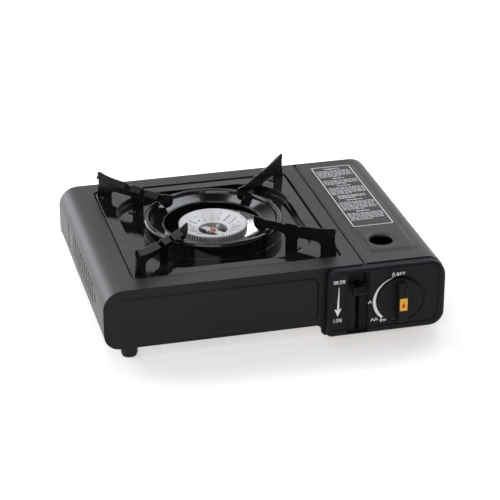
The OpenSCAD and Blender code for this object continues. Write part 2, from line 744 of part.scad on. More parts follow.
// Cap: a dish with raised ribs and small holes, and flame ports like teeth all round its edge
module burner_cap() {
    neck = 1.6;
    port_w = 1.5;
    dish_z = cap_top_z - 7.2;       // edge of the centre hole
    edge_r = cap_r - 2.2;           // where the dish begins
    slope = (cap_top_z - dish_z) / (edge_r - cap_hole_r - 0.6);
    color([0.80, 0.81, 0.82]) at_burner() difference() {
        union() {
            rotate_extrude($fn = 96) polygon([
                [cap_hole_r, cap_seat_z - 4], [cap_hole_r + neck, cap_seat_z - 4],
                [cap_hole_r + neck, dish_z - 1.6], [body_rim_r - 3.2, cap_top_z - 2.2],
                [body_rim_r - 3.2, cap_seat_z], [cap_r, cap_seat_z], [cap_r, cap_top_z - 0.7],
                [cap_r - 0.7, cap_top_z], [edge_r, cap_top_z], [cap_hole_r + 0.6, dish_z],
                [cap_hole_r, dish_z]
            ]);
            // pairs of ribs that lie along the dish
            for (a = [30 : 60 : 330]) rotate([0, 0, a]) for (side = [-1, 1])
                translate([cap_hole_r + 4, side * 4.4 - 0.8, dish_z + slope * 3.4])
                    rotate([0, -atan(slope), 0]) translate([0, 0, -0.7]) cube([10, 1.6, 1.5]);
        }
        for (i = [0 : port_count - 1]) rotate([0, 0, 360 * i / port_count])
            translate([body_rim_r - 5, -port_w / 2, cap_seat_z - 1])
                cube([8, port_w, cap_top_z - cap_seat_z - 1]);
        for (a = [0 : 60 : 300]) rotate([0, 0, a]) for (d = [6, 12])
            translate([cap_hole_r + d, 0, dish_z - 3]) cylinder(h = 12, r = 0.8, $fn = small);
    }
}

bridge_a = 125;     // direction of the bridge across the centre hole
bridge_z = cap_seat_z - 3.4;

module burner_bridge() {
    post_r = 2.2;
    color([0.78, 0.78, 0.77]) at_burner() rotate([0, 0, bridge_a]) difference() {
        union() {
            translate([0, 0, bridge_z]) intersection() {
                translate([-cap_hole_r, -3.4, 0]) cube([2 * cap_hole_r, 6.8, 1.6]);
                cylinder(h = 2, r = cap_hole_r - 0.1);
            }
            for (side = [-1, 1]) {
                translate([0, side * 7.5, bridge_z]) cylinder(h = 4.4, r = post_r, $fn = small);
                translate([-2, min(0, side * 8), bridge_z]) cube([4, 8, 1.6]);
            }
        }
        for (side = [-1, 1])
            translate([0, side * 7.5, bridge_z + 2.4]) cylinder(h = 3, r = 0.9, $fn = small);
        translate([0, 0, bridge_z - 1]) cylinder(h = 4, r = 1.6 + run_gap, $fn = small);
    }
}

module burner_screw() {
    color([0.72, 0.30, 0.18]) at_burner() {
        translate([0, 0, bridge_z + 1.6]) flat_head(3, 1.8);
        translate([0, 0, bridge_z - 7]) cylinder(h = 8.6 + eps, r = 1.6, $fn = small);
    }
}

// Bent strap that carries the burner above the base plate
module burner_bracket() {
    half = 25;
    foot = 14;
    depth = 24;
    t = 1.2;
    low = base_z + sheet;
    color([0.62, 0.63, 0.64]) along_y(burner_y - depth / 2, burner_y + depth / 2)
        translate([burner_x, 0]) {
            translate([-half, body_bottom_z - t]) square([2 * half, t]);
            for (side = [0, 1]) mirror([side, 0]) {
                translate([half - t, low]) square([t, body_bottom_z - low]);
                translate([half - t, low]) square([foot, t]);
            }
        }
}

module mixing_tube() {
    r = mixing_tube_d / 2;
    color([0.74, 0.75, 0.76]) difference() {
        toward_burner() rotate([0, 90, 0]) rotate_extrude() polygon([
            [r + 3, tube_s0], [r + 1, tube_s0 + 3], [r, tube_s0 + 9], [r, tube_s1],
            [r - 1, tube_s1], [r - 1, tube_s0 + 9], [r, tube_s0 + 3], [r + 2, tube_s0]
        ]);
    }
}

// Curved bright screen between the burner and the cartridge, with a slope that throws heat up
module heat_shield() {
    r = 61;
    slope = 15;
    a0 = -12;
    a1 = 74;
    low = base_z + sheet;
    high = tray_floor_z - tray_t - 2.5;
    lip = high - 4;
    color([0.82, 0.82, 0.80]) at_burner() intersection() {
        rotate_extrude($fn = 96) polygon([
            [r, low], [r + 9, low], [r + 9, low + sheet], [r + sheet, low + sheet], [r + sheet, high],
            [r, high], [r, lip], [r - slope, lip - slope], [r - slope, lip - slope - 1.2 * sheet],
            [r, lip - 1.2 * sheet]
        ]);
        translate([0, 0, low - 1]) linear_extrude(high) polygon([
            [0, 0], 140 * [cos(a0), sin(a0)], 140 * [cos((a0 + a1) / 2), sin((a0 + a1) / 2)],
            140 * [cos(a1), sin(a1)]
        ]);
    }
}

// ---------------------------------------------------------------- ignition

electrode_a = 35;   // place round the burner
electrode_r = cap_r + 5.6;

module at_electrode() { at_burner() rotate([0, 0, electrode_a]) translate([electrode_r, 0, 0]) children(); }

module electrode_bracket() {
    z = cap_seat_z - 8;
    color([0.7, 0.7, 0.7]) at_electrode() difference() {
        union() {
            plate([-5.4, -4, z], [4.6, 4, z + 1]);
            plate([-5.4, -4, z - 22], [-4.4, 4, z + eps]);
            plate([-5.4, -4, body_bottom_z - 1.2], [-4.4, 4, z - 21.9]);
        }
        translate([0, 0, z - 1]) cylinder(h = 3, r = 3 + seat_gap, $fn = small);
    }
}

module spark_electrode() {
    z = cap_seat_z - 17;
    color([0.93, 0.92, 0.88]) at_electrode() {
        translate([0, 0, z]) cylinder(h = 16, r = 3, $fn = small);
        translate([0, 0, z + 16 - eps]) cylinder(h = 1.6, r1 = 3, r2 = 1.8, $fn = small);
        translate([0, 0, z + 9 - 1.4]) cylinder(h = 1.4, r = 3.9, $fn = small);
        translate([0, 0, z - 3]) cylinder(h = 24, r = 0.9, $fn = small);
        translate([-4.4, -0.8, z + 19.6]) cube([5, 1.6, 1.4]);
    }
}

igniter_x = bay_x + 29;
igniter_y = front_y + 11;
igniter_z0 = trough_z + 14;

module piezo_igniter() {
    color([0.15, 0.15, 0.16]) {
        translate([igniter_x, igniter_y, igniter_z0]) cylinder(h = 34, r = 5);
        plate([igniter_x - 7, front_y + panel_t, igniter_z0 + 6], [igniter_x + 7, igniter_y, igniter_z0 + 26]);
        translate([igniter_x, igniter_y, igniter_z0 + 34 - eps]) cylinder(h = 5, r = 3, $fn = small);
    }
}

// Route of the lead: from the igniter along the trough, up onto the base plate and round the
// burner's bracket to the electrode
lead_r = 1.25;
lead_sides = 8;
lead_lift = lead_r + 0.3;
electrode_at = [burner_x + electrode_r * cos(electrode_a), burner_y + electrode_r * sin(electrode_a)];
lead_route = [
    [igniter_x, igniter_y, igniter_z0 - 0.4],
    [igniter_x, igniter_y, igniter_z0 - 5],
    [igniter_x - 8, igniter_y + 1, floor_z + lead_lift + 1],
    [bay_x, front_y + 9, floor_z + lead_lift + 0.4],
    [lever_x + 14, front_y + 9, floor_z + lead_lift + 0.4],
    [trough_x0 + 9, front_y + 12, floor_z + lead_lift + 0.6],
    [trough_x0 + 3, front_y + 16, base_z + sheet + 1],
    [trough_x0 - 4, front_y + 22, base_z + sheet + lead_lift + 1],
    [trough_x0 - 14, front_y + 32, base_z + sheet + lead_lift],
    [electrode_at[0] + 10, electrode_at[1] - 60, base_z + sheet + lead_lift],
    [electrode_at[0] + 6, electrode_at[1] - 24, base_z + sheet + lead_lift + 1],
    [electrode_at[0] + 2, electrode_at[1] - 4, base_z + 14],
    [electrode_at[0], electrode_at[1], cap_seat_z - 25],
    [electrode_at[0], electrode_at[1], cap_seat_z - 20.4]
];
lead_steps = 5;     // rings between two points of the route

// Point on a smooth curve through the route, and the ring of a tube around it
function route_at(p, i, t) =
    let (n = len(p) - 1, a = p[max(i - 1, 0)], b = p[i], c = p[min(i + 1, n)], d = p[min(i + 2, n)])
    0.5 * (2 * b + (c - a) * t + (2 * a - 5 * b + 4 * c - d) * t * t + (3 * b - a - 3 * c + d) * t * t * t);
function unit(v) = v / norm(v);
function carried(side, way) = unit(side - (side * way) * way);

module lead_tube(route, r, sides, steps) {
    points = [for (i = [0 : len(route) - 2]) for (k = [0 : steps - 1]) route_at(route, i, k / steps),
        route[len(route) - 1]];
    n = len(points);
    ways = [for (i = [0 : n - 1]) unit(points[min(i + 1, n - 1)] - points[max(i - 1, 0)])];
    side_list = [for (i = 0, s = carried([0, 1, 0.2], ways[0]); i < n;
        i = i + 1, s = i < n ? carried(s, ways[i]) : s) s];
    skin = [for (i = [0 : n - 1]) for (k = [0 : sides - 1])
        let (a = 360 * k / sides, u = side_list[i], v = cross(ways[i], u))
        points[i] + r * (cos(a) * u + sin(a) * v)];
    walls = [for (i = [0 : n - 2]) for (k = [0 : sides - 1])
        let (a = i * sides + k, b = i * sides + (k + 1) % sides)
        each [[a, a + sides, b], [b, a + sides, b + sides]]];
    ends = [[for (k = [0 : sides - 1]) k], [for (k = [sides - 1 : -1 : 0]) (n - 1) * sides + k]];
    polyhedron(points = skin, faces = concat(walls, ends));
}

module ignition_lead() { color([0.75, 0.12, 0.1]) lead_tube(lead_route, lead_r, lead_sides, lead_steps); }

// ---------------------------------------------------------------- regulator and gas way

module regulator_body() {
    color([0.66, 0.67, 0.68]) difference() {
        union() {
            rod_y(bay_x, bay_z, regulator_r, front_y + 5, regulator_y1, 64);
            along_y(front_y + panel_t, front_y + 5 + eps) round_box(bay_x - 22, bay_z - 19, bay_x + 20, bay_z + 19,
                [4, 4, 4, 4]);
            rod_y(bay_x, bay_z, socket_boss_r, regulator_y1 - eps, collar_y - 1.6, 64);
            translate([bay_x, front_y + 18.5, bay_z + 6]) cylinder(h = regulator_r + 1, r = 10);
            rod_x(outlet_y, tube_z, 5, outlet_x, bay_x - 8);
            rod_z(outlet_x, outlet_y, 6.2, tube_z - 6, tube_z + 6);
            toward_burner() rod_x(0, 0, 4.6, 0, 9);
        }
        rod_y(bay_x, knob_z, spindle_r + run_gap, front_y - 1, front_y + 14);
        rod_y(bay_x, bay_z, stem_bore_r, collar_y - 12, collar_y + 1);
        rod_y(bay_x, bay_z, 6, collar_y - 4.6, collar_y + 1);
    }
}

module stem_seal() {
    color([0.08, 0.08, 0.08]) difference() {
        rod_y(bay_x, bay_z, 6 - seat_gap, collar_y - 4.6, collar_y - 2);
        rod_y(bay_x, bay_z, stem_bore_r + 0.25, collar_y - 6, collar_y);
    }
}

// Plate that the cartridge's collar meets, with the key that fits the collar's notch
module collar_plate() {
    key_w = 5;
    color([0.62, 0.63, 0.64]) {
        difference() {
            along_y(collar_y - 1.6, collar_y) round_box(bay_x - 24, bay_z - 22, bay_x + 24, bay_z + 22,
                [6, 6, 6, 6]);
            rod_y(bay_x, bay_z, socket_boss_r - 2, collar_y - 3, collar_y + 1);
        }
        plate([bay_x - key_w / 2, collar_y - eps, bay_z + 14], [bay_x + key_w / 2, collar_y + 4, bay_z + 20]);
    }
}

cap_screw_ring = 10.4;
cap_base_z = bay_z + regulator_r + 7;

module regulator_cap() {
    color([0.70, 0.66, 0.52]) translate([bay_x, front_y + 18.5, cap_base_z]) difference() {
        union() {
            cylinder(h = 2, r = cap_house_r);
            translate([0, 0, 2 - eps]) cylinder(h = 4, r1 = cap_screw_ring - 2.3, r2 = 7);
        }
        for (a = [45 : 90 : 315]) rotate([0, 0, a])
            translate([cap_screw_ring, 0, -1]) cylinder(h = 4, r = 1.2 + run_gap, $fn = small);
    }
}

module cap_screws() {
    color([0.7, 0.7, 0.7]) translate([bay_x, front_y + 18.5, cap_base_z]) for (a = [45 : 90 : 315])
        rotate([0, 0, a]) translate([cap_screw_ring, 0, 0]) {
            translate([0, 0, 2]) flat_head(2, 1.2);
            cylinder(h = 2 + eps, r = 1.2, $fn = small);
        }
}

module gas_pipe() {
    color([0.72, 0.60, 0.30]) toward_burner() rod_x(0, 0, pipe_r, 9, nozzle_s);
}

module gas_nozzle() {
    color([0.80, 0.65, 0.30]) toward_burner() {
        rod_x(0, 0, 6, nozzle_s, nozzle_s + 7, 6);
        translate([nozzle_s + 7 - eps, 0, 0]) rotate([0, 90, 0]) cylinder(h = 6, r1 = 4, r2 = 2, $fn = small);
    }
}

// ---------------------------------------------------------------- cartridge bay

// Upright sheet between the burner's side and the cartridge
module compartment_divider() {
    high = top_z - sheet - 3;
    color([0.72, 0.73, 0.73]) {
        plate([divider_x, divider_y0, floor_z], [divider_x + sheet, divider_y1, high]);
        plate([divider_x - 9, divider_y0, floor_z], [divider_x + eps, divider_y1, floor_z + sheet]);
    }
}

// Saddles that centre the cartridge in the trough
module cartridge_cradle() {
    inner = 16;
    outer = 26;
    t = 1.2;
    color([0.62, 0.63, 0.64]) for (y = [collar_y + 60, collar_y + 150]) {
        for (side = [-1, 1]) {
            along_y(y, y + t) difference() {
                translate([bay_x + min(side * inner, side * outer), floor_z]) square([outer - inner, 14]);
                translate([bay_x, bay_z]) circle(cartridge_r + 0.4, $fn = 96);
            }
            plate([bay_x + min(side * inner, side * outer), y, floor_z],
                [bay_x + max(side * inner, side * outer), y + 9, floor_z + 0.8]);
        }
    }
}

// Clips on the divider that hold the pusher's bar
guide_ys = [divider_y0 + 12, divider_y1 - 25];

module slide_guides() {
    gap = 0.3;
    w = 12;
    t = 1;
    z0 = crank_z0 - pusher_h / 2;
    color([0.62, 0.63, 0.64]) for (y = guide_ys) along_y(y, y + w) difference() {
        translate([pusher_x - gap - t, z0 - gap - t]) square([divider_x - pusher_x + gap + t, pusher_h + 2 * (gap + t)]);
        translate([pusher_x - gap, z0 - gap]) square([pusher_t + 2 * gap, pusher_h + 2 * gap]);
        translate([pusher_x + pusher_t + gap + t, z0 + 1]) square([divider_x, pusher_h - 2]);
    }
}

// Bar that the lever's crank moves, with the plate that presses on the cartridge's bottom
module pusher() {
    z0 = crank_z0 - pusher_h / 2;
    color([0.55, 0.56, 0.57]) difference() {
        union() {
            plate([pusher_x, crank_y0 - 8, z0], [pusher_x + pusher_t, pusher_y + pusher_t, z0 + pusher_h]);
            along_y(pusher_y, pusher_y + pusher_t)
                round_box(pusher_x, bay_z - 20, bay_x + 14, bay_z + 16, [2, 12, 12, 2]);
            along_x(pusher_x, pusher_x + pusher_t)
                polygon([[pusher_y - 12, z0 + pusher_h - 0.5], [pusher_y + 0.5, z0 + pusher_h + 6],
                    [pusher_y + 0.5, z0 - 6], [pusher_y - 12, z0 + 0.5]]);
        }
        along_x(pusher_x - 1, pusher_x + pusher_t + 1)
            round_box(crank_y0 - crank_pin_r - 0.1, crank_z0 - 3.4, crank_y0 + crank_pin_r + 0.1, crank_z0 + 3.4,
                [0, 0, 0, 0]);
        rod_y(bay_x - 4, bay_z - 2, 9, pusher_y - 1, pusher_y + pusher_t + 1);
    }
}

// ---------------------------------------------------------------- lock lever

lever_bracket_t = 1.2;
lever_bracket_zs = [lever_z - 14, lever_z + 14];
cheek_x = lever_x - lever_t / 2 - 1.3 - lever_bracket_t;

module lever_bracket() {
    color([0.62, 0.63, 0.64]) difference() {
        union() {
            along_x(cheek_x, cheek_x + lever_bracket_t)
                round_box(front_y + panel_t, lever_z - 18, lever_y + 7, lever_z + 18, [0, 12, 12, 0]);
            plate([cheek_x - 9, front_y + panel_t, lever_z - 18],
                [cheek_x + lever_bracket_t, front_y + panel_t + lever_bracket_t, lever_z + 18]);
        }
        rod_x(lever_y, lever_z, lever_pin_r + 0.02, cheek_x - 1, cheek_x + 3);
        for (z = lever_bracket_zs)
            rod_y(lever_x - 9, z, panel_screw_r + run_gap, front_y, front_y + 5);
    }
}

module lever_pivot_pin() {
    end_x = lever_x + lever_t / 2 + 0.3;
    color([0.7, 0.7, 0.7]) {
        rod_x(lever_y, lever_z, lever_pin_r, cheek_x - 0.6, end_x + 0.8);
        rod_x(lever_y, lever_z, 3.2, cheek_x - 1.6, cheek_x);
        rod_x(lever_y, lever_z, 3, end_x, end_x + 0.8);
    }
}

// The lever is drawn level, with its tip toward -Y, and turned up to its unlocked place
module at_lever() { translate([lever_x, lever_y, lever_z]) rotate([-lever_half_swing, 0, 0]) children(); }

module lever_arm() {
    color([0.5, 0.5, 0.52]) at_lever() difference() {
        union() {
            along_x(-lever_t / 2, lever_t / 2) {
                circle(lever_hub_r);
                translate([-lever_r + 4, -lever_h / 2 + 1]) square([lever_r - 4, lever_h - 2]);
                translate([-lever_r + grip_l, -lever_h / 2]) square([lever_r - grip_l, lever_h]);
                translate([-3, 0]) square([6, crank_r]);
                translate([0, crank_r]) circle(3);
            }
            rod_x(0, 0, lever_hub_r, -lever_t / 2 - 0.9, lever_t / 2);
            rod_x(0, crank_r, crank_pin_r, 0, pusher_x + pusher_t + 0.4 - lever_x);
        }
        rod_x(0, 0, lever_pin_r + run_gap, -5, 5);
    }
}

module lever_grip() {
    color([0.09, 0.09, 0.1]) at_lever() difference() {
        hull() for (sx = [-1, 1]) for (sz = [-1, 1]) {
            translate([sx * (grip_w / 2 - 1.6), -lever_r + 1.6, sz * (grip_h / 2 - 1.6)]) sphere(1.6, $fn = 20);
            translate([sx * (grip_w / 2 - 1), -lever_r + grip_l, sz * (grip_h / 2 - 1)])
                rotate([90, 0, 0]) cylinder(h = eps, r = 1, $fn = 20);
        }
        translate([-lever_t / 2 - seat_gap, -lever_r + 4 - seat_gap, -lever_h / 2 + 1 - seat_gap])
            cube([lever_t + 2 * seat_gap, grip_l, lever_h - 2 + 2 * seat_gap]);
        // grooves on the thumb face
        for (i = [-1 : 1])
            translate([-grip_w / 2 + 2, -lever_r - 0.6, i * 2 - 0.3]) cube([grip_w - 4, 1, 0.6]);
    }
}

// ---------------------------------------------------------------- fascia and knob

// Moulded block whose front edge is rounded all round
module fascia_block() {
    steps = 4;
    hull() {
        along_y(front_y - eps, front_y) round_box(fascia_x0, fascia_z0, fascia_x1, fascia_z1, fascia_radii, $fn = small);
        for (i = [0 : steps]) {
            a = 90 * i / steps;
            d = fascia_edge_r * (1 - cos(a));
            y = fascia_y + fascia_edge_r * (1 - sin(a));
            along_y(y, y + eps) round_box(fascia_x0 + d, fascia_z0 + d, fascia_x1 - d, fascia_z1 - d,
                less(fascia_radii, d), $fn = small);
        }
    }
}

module control_fascia() {
    rim = fascia_rims;
    seat_r = knob_r + 0.9;
    color([0.09, 0.09, 0.1]) difference() {
        fascia_block();
        // field that the marks stand on
        along_y(fascia_y - 1, fascia_y + field_drop)
            round_box(fascia_x0 + rim[0], fascia_z0 + rim[1], fascia_x1 - rim[2], fascia_z1 - rim[3],
                [2, fascia_radii[1] - 5, fascia_radii[2] - 5, 8]);
        // track of the lock lever, the pocket for a fingertip above it and the slot
        along_y(fascia_y - 1, fascia_y + track_depth)
            round_box(track_x0, fascia_z0 + 3, track_x1, fascia_z1 - 3.2, [2, 2, 2, 2]);
        along_y(fascia_y - 1, front_y - 1.5)
            round_box(track_x0 + 2, fascia_z1 - 17, track_x1 - 1.5, fascia_z1 - 4.4, [2, 2, 4, 4]);
        along_y(fascia_y - 1, front_y + 1)
            round_box(lever_x - slot_w / 2, slot_z0, lever_x + slot_w / 2, slot_z1, [0, 0, 0, 0]);
        // seat of the knob with the crescent-shaped step at its right, and hole of its spindle
        rod_y(bay_x + 0.4, knob_z - 0.4, seat_r, fascia_y - 1, fascia_y + 2.2, 64);
        rod_y(bay_x + 1.9, knob_z - 0.5, seat_r + 1, fascia_y - 1, fascia_y + 1.7, 64);
        rod_y(bay_x, knob_z, spindle_r + 1, fascia_y - 1, front_y + 1);
        // pocket behind the hinge pin
        rod_y(hinge_x, hinge_z, hinge_pin_r + 0.5, front_y - 1, front_y + 1);
        // groove beside the track and divider line
        for (x = [track_x0 - 2.2, track_x1 + 1])
            along_y(fascia_y - 1, fascia_y + field_drop + 0.5)
                translate([x, fascia_z0 + 5]) square([0.6, fascia_z1 - fascia_z0 - 8.4]);
    }
    // ribs in the track beside the slot
    color([0.09, 0.09, 0.1]) for (x = [lever_x + 3.4, lever_x + 6.4])
        plate([x, fascia_y + track_depth - 1.2, fascia_z0 + 2.9],
            [x + 1.2, fascia_y + track_depth + eps, slot_z1 - 2.3]);
}

module knob() {
    r = knob_r;
    y1 = fascia_y + 1.6;
    color([0.09, 0.09, 0.1]) difference() {
        union() {
            translate([bay_x, y1, knob_z]) rotate([90, 0, 0]) rotate_extrude($fn = 96) polygon([
                [0, 0], [r, 0], [r, knob_skirt], [r - 0.4, knob_skirt + 1], [r - 1.6, knob_skirt + 1.6],
                [0, knob_skirt + 1.6]
            ]);
            // grip bar with drawn-in flanks and a rounded front
            hull() {
                along_y(fascia_y - knob_skirt - eps, fascia_y - knob_skirt + 0.5) round_box(bay_x - grip_bar_w / 2 - 1,
                    knob_z - grip_bar_l / 2 - 1, bay_x + grip_bar_w / 2 + 1, knob_z + grip_bar_l / 2 + 1,
                    [3, 3, 3, 3], $fn = small);
                along_y(fascia_y - knob_out + 1, fascia_y - knob_out + 1 + eps) round_box(bay_x - grip_bar_w / 2,
                    knob_z - grip_bar_l / 2, bay_x + grip_bar_w / 2, knob_z + grip_bar_l / 2,
                    [3, 3, 3, 3], $fn = small);
                along_y(fascia_y - knob_out, fascia_y - knob_out + eps) round_box(bay_x - grip_bar_w / 2 + 0.8,
                    knob_z - grip_bar_l / 2 + 0.8, bay_x + grip_bar_w / 2 - 0.8, knob_z + grip_bar_l / 2 - 0.8,
                    [2.2, 2.2, 2.2, 2.2], $fn = small);
            }
        }
        // seat of the indicator and the groove of the pointer
        along_y(fascia_y - knob_out - 1, fascia_y - knob_out + 0.6) round_box(bay_x - indicator_w / 2 - seat_gap,
            knob_z - indicator_h / 2 - seat_gap, bay_x + indicator_w / 2 + seat_gap,
            knob_z + indicator_h / 2 + seat_gap, [1, 1, 1, 1]);
        along_y(fascia_y - knob_out - 1, fascia_y - knob_out + 0.7)
            translate([bay_x - 0.6, knob_z + indicator_h / 2 + 2.4]) square([1.2, 8.6]);
        // bore of the spindle
        rod_y(bay_x, knob_z, spindle_r + 0.02, y1 - 9, y1 + 1);
    }
}

module knob_indicator() {
    color([0.96, 0.62, 0.1]) along_y(fascia_y - knob_out + 0.1, fascia_y - knob_out + 0.6)
        round_box(bay_x - indicator_w / 2, knob_z - indicator_h / 2, bay_x + indicator_w / 2,
            knob_z + indicator_h / 2, [1, 1, 1, 1]);
}

module knob_spindle() {
    color([0.72, 0.60, 0.30]) rod_y(bay_x, knob_z, spindle_r, fascia_y - 7, front_y + 13, 64);
}

// ---------------------------------------------------------------- drawing

top_casing();
base_plate();
front_panel();
rear_panel();
control_fascia();
compartment_divider();
heat_shield();
cartridge_cradle();
slide_guides();
regulator_body();
regulator_cap();
cap_screws();
stem_seal();
collar_plate();
gas_pipe();
gas_nozzle();
mixing_tube();
burner_body();
burner_cap();
burner_bridge();
burner_screw();
burner_bracket();
electrode_bracket();
spark_electrode();
piezo_igniter();
ignition_lead();
lever_bracket();
lever_pivot_pin();
hinge_pins();
casing_screws();
panel_screws();
feet_left();
feet_right();
foot_screws();
lid();
drip_tray();
pan_support_at(0);  // pan_support_1
pan_support_at(1);  // pan_support_2
pan_support_at(2);  // pan_support_3
pan_support_at(3);  // pan_support_4
support_rivets();
knob();
knob_indicator();
knob_spindle();
lever_arm();
lever_grip();
pusher();
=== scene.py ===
"""Looks of the butane cassette stove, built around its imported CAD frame. Metres, X right, Y back, Z up."""

import math
import random

import bmesh
import bpy
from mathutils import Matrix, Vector


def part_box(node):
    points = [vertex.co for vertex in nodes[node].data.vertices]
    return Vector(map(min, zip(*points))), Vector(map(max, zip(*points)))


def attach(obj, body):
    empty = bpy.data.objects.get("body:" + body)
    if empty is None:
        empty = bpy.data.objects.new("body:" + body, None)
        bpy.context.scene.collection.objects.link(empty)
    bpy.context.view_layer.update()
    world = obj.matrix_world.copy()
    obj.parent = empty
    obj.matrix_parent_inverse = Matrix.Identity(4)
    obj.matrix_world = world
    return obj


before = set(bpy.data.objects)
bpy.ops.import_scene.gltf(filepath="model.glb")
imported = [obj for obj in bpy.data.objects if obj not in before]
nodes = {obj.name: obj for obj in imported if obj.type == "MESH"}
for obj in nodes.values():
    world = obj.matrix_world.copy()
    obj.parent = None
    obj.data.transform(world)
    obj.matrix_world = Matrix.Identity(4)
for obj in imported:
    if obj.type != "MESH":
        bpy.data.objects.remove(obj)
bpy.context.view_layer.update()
MM = 0.001


# ------------------------------------------------------------------ materials


# Sockets of the Mix node when it mixes colours. It keeps float, vector and colour sockets under the same names.
MIX_FACTOR, MIX_A, MIX_B, MIX_RESULT = 0, 6, 7, 2


class Paint:
    """A Principled material with short ways to add what its colour, roughness and surface vary by."""

    def __init__(self, name, color, rough, metallic=0.0, **sockets):
        self.mat = bpy.data.materials.new(name)
        self.mat.use_nodes = True
        self.tree = self.mat.node_tree
        self.bsdf = self.tree.nodes["Principled BSDF"]
        self.coords = self.tree.nodes.new("ShaderNodeTexCoord").outputs["Object"]
        self.put("Base Color", (*color, 1))
        self.put("Roughness", rough)
        self.put("Metallic", metallic)
        for key, value in sockets.items():
            self.put(key.replace("_", " "), value)
        self.color = color

    def put(self, socket, value):
        self.bsdf.inputs[socket].default_value = value

    def node(self, kind, inputs=(), **props):
        made = self.tree.nodes.new(kind)
        for key, value in props.items():
            setattr(made, key, value)
        for key, value in dict(inputs).items():
            if isinstance(value, bpy.types.NodeSocket):
                self.tree.links.new(value, made.inputs[key])
            else:
                made.inputs[key].default_value = value
        return made

    def link(self, output, socket):
        self.tree.links.new(output, self.bsdf.inputs[socket])

    def stretched(self, scale=(1, 1, 1), centre=(0, 0, 0)):
        shift = [-c * s for c, s in zip(centre, scale)]
        inputs = {"Vector": self.coords, "Scale": scale, "Location": shift}
        return self.node("ShaderNodeMapping", inputs).outputs[0]

    def noise(self, scale, detail=3.0, rough=0.55, coords=None):
        inputs = {"Vector": coords or self.coords, "Scale": scale, "Detail": detail, "Roughness": rough}
        return self.node("ShaderNodeTexNoise", inputs).outputs["Fac"]

    def ramp(self, fac, *stops):
        made = self.node("ShaderNodeValToRGB", {"Fac": fac})
        ramp = made.color_ramp
        while len(ramp.elements) < len(stops):
            ramp.elements.new(0.5)
        for element, (place, value) in zip(ramp.elements, stops):
            element.position = place
            element.color = (value, value, value, 1) if isinstance(value, (int, float)) else (*value, 1)
        return made.outputs[0]

    def math(self, operation, *values):
        return self.node("ShaderNodeMath", dict(enumerate(values)), operation=operation).outputs[0]

    def span(self, fac, low, high):
        return self.node("ShaderNodeMapRange", {"Value": fac, "To Min": low, "To Max": high}).outputs[0]

    def mottle(self, fac, other):
        """The base colour runs to another colour where fac is high."""
        inputs = {MIX_FACTOR: fac, MIX_A: (*self.color, 1), MIX_B: (*other, 1)}
        mix = self.node("ShaderNodeMix", inputs, data_type="RGBA")
        self.link(mix.outputs[MIX_RESULT], "Base Color")

    def vary_rough(self, fac, low, high):
        self.link(self.span(fac, low, high), "Roughness")

    def surface(self, height=None, depth=0.0001, strength=0.3, edge=0.0, base=None):
        """Bump of a height, over edges that are softened by a small bevel."""
        normal = base
        if edge:
            normal = self.node("ShaderNodeBevel", {"Radius": edge}, samples=6).outputs[0]
        if height is not None:
            inputs = {"Height": height, "Distance": depth, "Strength": strength}
            if normal is not None:
                inputs["Normal"] = normal
            normal = self.node("ShaderNodeBump", inputs).outputs[0]
        self.link(normal, "Normal")
        return normal


def painted_sheet(name="casing_paint", color=(0.011, 0.011, 0.012), other=(0.016, 0.0155, 0.015), shine=0.48):
    """Sprayed paint with a fine grain, clouded by a slightly lighter colour."""
    p = Paint(name, color, 0.42, Specular_IOR_Level=shine)
    grain = p.noise(1500, 2, 0.6)
    cloud = p.noise(14, 3)
    p.mottle(p.ramp(cloud, (0.4, 0.0), (0.8, 1.0)), other)
    p.vary_rough(p.math("ADD", p.math("MULTIPLY", grain, 0.35), p.math("MULTIPLY", cloud, 0.65)), 0.36, 0.5)
    p.surface(p.math("ADD", grain, p.math("MULTIPLY", p.noise(380, 2), 0.8)), 0.00008, 0.35, 0.0007)
    return p.mat


def enamel(name="enamel", rough=(0.05, 0.13), wave=0.00045, shine=0.55, edge=0.0012):
    """Black enamel: a slow ripple, fine orange peel over it and a few pale specks."""
    p = Paint(name, (0.005, 0.005, 0.0055), 0.08, Specular_IOR_Level=shine)
    ripple = p.noise(32, 2, 0.5)
    peel = p.noise(420, 2, 0.5)
    speck = p.noise(900, 1, 0.4)
    p.mottle(p.ramp(speck, (0.72, 0.0), (0.78, 1.0)), (0.02, 0.02, 0.022))
    p.vary_rough(p.noise(60, 3), *rough)
    first = p.surface(ripple, wave, 0.6, edge)
    p.surface(peel, 0.00002, 0.25, base=first)
    return p.mat


def moulded_plastic():
    p = Paint("fascia_plastic", (0.0065, 0.0068, 0.0095), 0.5, Specular_IOR_Level=0.16)
    spark = p.node("ShaderNodeTexVoronoi", {"Vector": p.coords, "Scale": 2400.0}).outputs["Distance"]
    p.mottle(p.ramp(p.noise(26, 3), (0.35, 0.0), (0.8, 1.0)), (0.0105, 0.0107, 0.014))
    p.vary_rough(p.noise(180, 3), 0.42, 0.56)
    p.surface(p.math("ADD", spark, p.noise(900, 2)), 0.00006, 0.4, 0.0005)
    return p.mat


def galvanised(
    name="galvanised", color=(0.50, 0.51, 0.52), other=(0.36, 0.37, 0.39), rough=(0.3, 0.5), metal=1.0
):
    """Zinc with its crystal flowers and the fine lines of rolling."""
    p = Paint(name, color, 0.4, metal)
    cells = p.node("ShaderNodeTexVoronoi", {"Vector": p.coords, "Scale": 190.0, "Randomness": 1.0})
    flower = p.node("ShaderNodeSeparateColor", {"Color": cells.outputs["Color"]}).outputs[0]
    fine = p.noise(900, 3, coords=p.stretched((1, 9, 1)))
    p.mottle(p.math("ADD", p.math("MULTIPLY", flower, 0.7), p.math("MULTIPLY", fine, 0.3)), other)
    p.vary_rough(flower, *rough)
    p.surface(fine, 0.00002, 0.25, 0.0004)
    return p.mat


